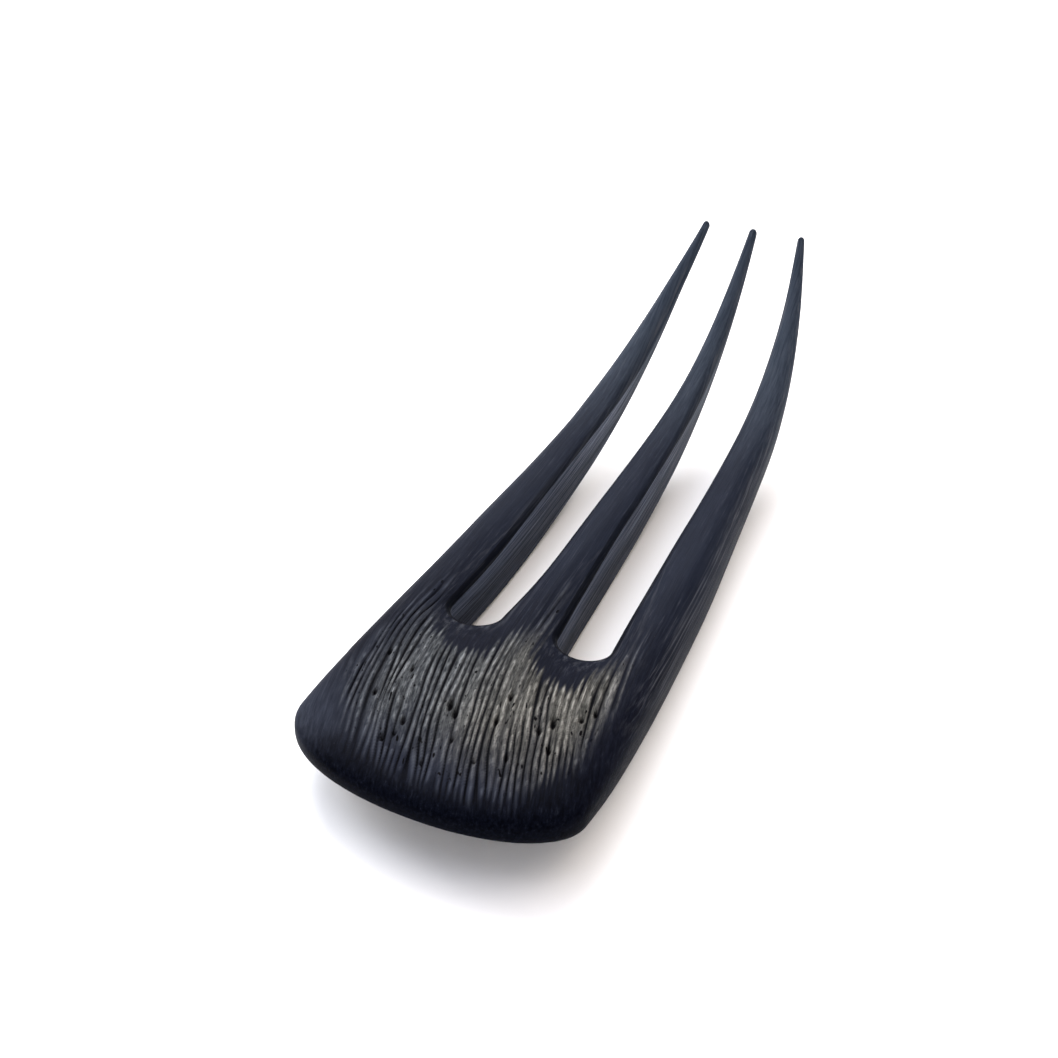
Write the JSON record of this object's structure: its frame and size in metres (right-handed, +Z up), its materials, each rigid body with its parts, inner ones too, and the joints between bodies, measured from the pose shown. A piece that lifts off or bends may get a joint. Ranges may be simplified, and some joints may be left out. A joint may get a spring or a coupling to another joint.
{
  "type": "three-prong hair fork",
  "caption": "Curved wooden hair fork: a broad rounded head that tapers into slim upswept prongs, worn through a bun to hold the hair up.",
  "frame": {"origin": "centre of the bounding box in plan, at the lowest point of the curved back, on which the fork rests", "axes": "+Y from the near end of the head to the tips, +Z up, the side with the raised grain facing up, +X to the right seen from the head"},
  "size_m": [0.0392, 0.142, 0.0349],
  "materials": {
    "wood": "near-black open-grained wood, smooth satin prongs and edges, raised grey grain on the upper side of the head"
  },
  "bodies": {
    "root": {"fork": "wood"}
  },
  "joints": []
}
